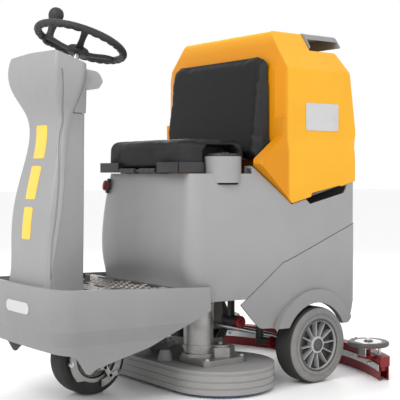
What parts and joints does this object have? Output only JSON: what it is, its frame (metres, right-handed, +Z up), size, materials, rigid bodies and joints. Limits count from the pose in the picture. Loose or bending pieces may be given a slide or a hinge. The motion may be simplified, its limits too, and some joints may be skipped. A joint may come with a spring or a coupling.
{
  "type": "ride-on scrubber-dryer",
  "caption": "Compact ride-on floor scrubber-dryer with a front steering column, a seat on the water tank, a tilting recovery tank, a disc brush deck and a curved squeegee.",
  "frame": {"origin": "middle of the overall footprint, on the floor", "axes": "+Z up, the machine drives towards -Y, its left side is +X"},
  "size_m": [0.96, 1.305, 1.2669],
  "materials": {
    "grey_shell": "satin rotational-moulded polyethylene",
    "yellow_tank": "satin rotational-moulded polyethylene",
    "seat_vinyl": "grained black vinyl over foam",
    "dark_plastic": "moulded black plastic",
    "grip_rubber": "soft grained grip",
    "tyre_rubber": "non-marking tyre",
    "black_paint": "powder coat",
    "cast_alloy": "as-cast alloy",
    "steel": "zinc plated",
    "tread_plate": "five-bar tread plate",
    "red_plastic": "moulded red plastic",
    "silver_rim": "silver moulded rim",
    "bristle": "nylon bristle",
    "skirt_rubber": "grey splash skirt",
    "battery_case": "battery case",
    "lid_grey": "satin moulded lid"
  },
  "bodies": {
    "chassis": {"chassis_frame": "black_paint", "front_cowl": "grey_shell", "footplate": "tread_plate", "column_rear_cover": "grey_shell", "dash_binnacle": "grey_shell", "dash_panel": "dark_plastic", "column_frame": "black_paint", "steering_chain": "steel", "fork_bearing": "steel", "rear_axle": "steel", "solution_tank": "grey_shell", "battery_bay_liner": "dark_plastic", "battery_pack": "battery_case", "rear_skirt": "grey_shell", "drive_controller": "cast_alloy", "solution_pump": "dark_plastic", "solution_filter": "dark_plastic", "drain_pipe": "dark_plastic", "seat_hinge_bracket": "steel", "tank_hinge_bracket": "steel", "deck_actuator": "steel", "squeegee_hinge_bracket": "black_paint"},
    "steering": {"steering_wheel": "grip_rubber", "upper_steering_shaft": "steel"},
    "knob": {"steering_knob": "dark_plastic"},
    "column_shaft": {"lower_steering_shaft": "steel"},
    "fork": {"drive_fork": "cast_alloy", "drive_motor": "black_paint"},
    "front_wheel": {"front_tyre": "tyre_rubber", "front_wheel_hub": "cast_alloy"},
    "rear_wheel_left": {"rear_tyre_left": "tyre_rubber", "rear_rim_left": "silver_rim"},
    "rear_wheel_right": {"rear_tyre_right": "tyre_rubber", "rear_rim_right": "silver_rim"},
    "deck": {"brush_deck": "skirt_rubber", "brush_motor_left": "cast_alloy", "brush_motor_right": "cast_alloy"},
    "brush_disc_left": {"brush_left": "bristle"},
    "brush_disc_right": {"brush_right": "bristle"},
    "carrier": {"squeegee_arm": "steel"},
    "squeegee": {"squeegee_holder": "red_plastic", "squeegee_front_blade": "red_plastic", "squeegee_rear_blade": "red_plastic"},
    "roller_left": {"bumper_roller_left": "dark_plastic"},
    "roller_right": {"bumper_roller_right": "dark_plastic"},
    "knob_left": {"squeegee_knob_left": "dark_plastic"},
    "knob_right": {"squeegee_knob_right": "dark_plastic"},
    "seat": {"seat_cushion": "seat_vinyl", "seat_pan": "dark_plastic"},
    "tank": {"recovery_tank": "yellow_tank", "seat_back": "seat_vinyl", "vacuum_motor": "dark_plastic"},
    "lid": {"tank_lid": "lid_grey"},
    "cap": {"filler_cap": "dark_plastic"},
    "pedal": {"accelerator_pedal": "dark_plastic"},
    "key": {"key_switch": "steel"},
    "rocker": {"direction_switch": "dark_plastic"},
    "stop_button": {"emergency_button": "red_plastic"},
    "strainer_cap": {"filter_cap": "red_plastic"},
    "drain": {"drain_cap": "red_plastic"}
  },
  "joints": [
    {"name": "steering_turn", "type": "hinge", "parent": "chassis", "child": "steering", "pos_m": [0, -0.4245, 1.138], "axis": [0, 0.3338, 0.9426], "range_deg": [-150, 150]},
    {"name": "knob_spin", "type": "hinge", "parent": "steering", "child": "knob", "pos_m": [-0.13344, -0.47028, 1.15421], "axis": [0, 0.3338, 0.9426], "continuous": true},
    {"name": "column_shaft_turn", "type": "hinge", "parent": "chassis", "child": "column_shaft", "pos_m": [0, -0.4985, 0.6], "axis": [0, 0, 1], "range_deg": [-150, 150]},
    {"name": "fork_steer", "type": "hinge", "parent": "chassis", "child": "fork", "pos_m": [0, -0.4025, 0.3], "axis": [0, 0, 1], "range_deg": [-75, 75]},
    {"name": "front_wheel_spin", "type": "hinge", "parent": "fork", "child": "front_wheel", "pos_m": [0, -0.4025, 0.12], "axis": [1, 0, 0], "continuous": true},
    {"name": "rear_wheel_left_spin", "type": "hinge", "parent": "chassis", "child": "rear_wheel_left", "pos_m": [0.315, 0.2975, 0.13], "axis": [1, 0, 0], "continuous": true},
    {"name": "rear_wheel_right_spin", "type": "hinge", "parent": "chassis", "child": "rear_wheel_right", "pos_m": [-0.315, 0.2975, 0.13], "axis": [1, 0, 0], "continuous": true},
    {"name": "deck_lift", "type": "slide", "parent": "chassis", "child": "deck", "axis": [0, 0, 1], "range_m": [0, 0.045]},
    {"name": "brush_left_spin", "type": "hinge", "parent": "deck", "child": "brush_disc_left", "pos_m": [0.195, -0.0045, 0.05], "axis": [0, 0, 1], "continuous": true},
    {"name": "brush_right_spin", "type": "hinge", "parent": "deck", "child": "brush_disc_right", "pos_m": [-0.195, -0.0045, 0.05], "axis": [0, 0, 1], "continuous": true},
    {"name": "squeegee_lift", "type": "hinge", "parent": "chassis", "child": "carrier", "pos_m": [0, 0.3815, 0.214], "axis": [1, 0, 0], "range_deg": [0, 15]},
    {"name": "squeegee_swing", "type": "hinge", "parent": "carrier", "child": "squeegee", "pos_m": [0, 0.5025, 0.1], "axis": [0, 0, 1], "range_deg": [-2.5, 2.5]},
    {"name": "roller_left_spin", "type": "hinge", "parent": "squeegee", "child": "roller_left", "pos_m": [0.405, 0.49326, 0.122], "axis": [0, 0, 1], "continuous": true},
    {"name": "roller_right_spin", "type": "hinge", "parent": "squeegee", "child": "roller_right", "pos_m": [-0.405, 0.49326, 0.122], "axis": [0, 0, 1], "continuous": true},
    {"name": "squeegee_knob_left_turn", "type": "hinge", "parent": "squeegee", "child": "knob_left", "pos_m": [0.25, 0.59772, 0.09], "axis": [0, 0, 1], "continuous": true},
    {"name": "squeegee_knob_right_turn", "type": "hinge", "parent": "squeegee", "child": "knob_right", "pos_m": [-0.25, 0.59772, 0.09], "axis": [0, 0, 1], "continuous": true},
    {"name": "seat_tilt", "type": "hinge", "parent": "chassis", "child": "seat", "pos_m": [0, -0.2045, 0.726], "axis": [1, 0, 0], "range_deg": [0, 70]},
    {"name": "tank_tilt", "type": "hinge", "parent": "chassis", "child": "tank", "pos_m": [-0.347, 0.3745, 0.702], "axis": [0, -1, 0], "range_deg": [0, 65]},
    {"name": "lid_open", "type": "hinge", "parent": "tank", "child": "lid", "pos_m": [0, 0.3225, 1.2115], "axis": [1, 0, 0], "range_deg": [0, 80]},
    {"name": "filler_cap_turn", "type": "hinge", "parent": "chassis", "child": "cap", "pos_m": [0.238, -0.0305, 0.78], "axis": [0, 0, 1], "range_deg": [0, 90]},
    {"name": "pedal_press", "type": "hinge", "parent": "chassis", "child": "pedal", "pos_m": [-0.14, -0.3445, 0.366], "axis": [1, 0, 0], "range_deg": [0, 18], "stiffness_Nm_per_rad": 0.6, "springref_deg": -22.92},
    {"name": "key_turn", "type": "hinge", "parent": "chassis", "child": "key", "pos_m": [0.034, -0.5485, 1.06845], "axis": [0, 0.3266, 0.9452], "range_deg": [0, 90]},
    {"name": "direction_rock", "type": "hinge", "parent": "chassis", "child": "rocker", "pos_m": [-0.032, -0.5467, 1.07365], "axis": [1, 0, 0], "range_deg": [-10, 10]},
    {"name": "emergency_press", "type": "slide", "parent": "chassis", "child": "stop_button", "axis": [0.4803, 0.8605, -0.1701], "range_m": [0, 0.008], "stiffness_N_per_m": 300, "springref_m": -0.005},
    {"name": "filter_cap_turn", "type": "hinge", "parent": "chassis", "child": "strainer_cap", "pos_m": [0.207, 0.0715, 0.212], "axis": [1, 0, 0], "range_deg": [0, 90]},
    {"name": "drain_cap_turn", "type": "hinge", "parent": "chassis", "child": "drain", "pos_m": [0.207, 0.2195, 0.126], "axis": [1, 0, 0], "range_deg": [0, 90]}
  ],
  "couplings": [
    {"joint": "column_shaft_turn", "follows": "steering_turn", "ratio": 1},
    {"joint": "fork_steer", "follows": "steering_turn", "ratio": 0.5}
  ]
}
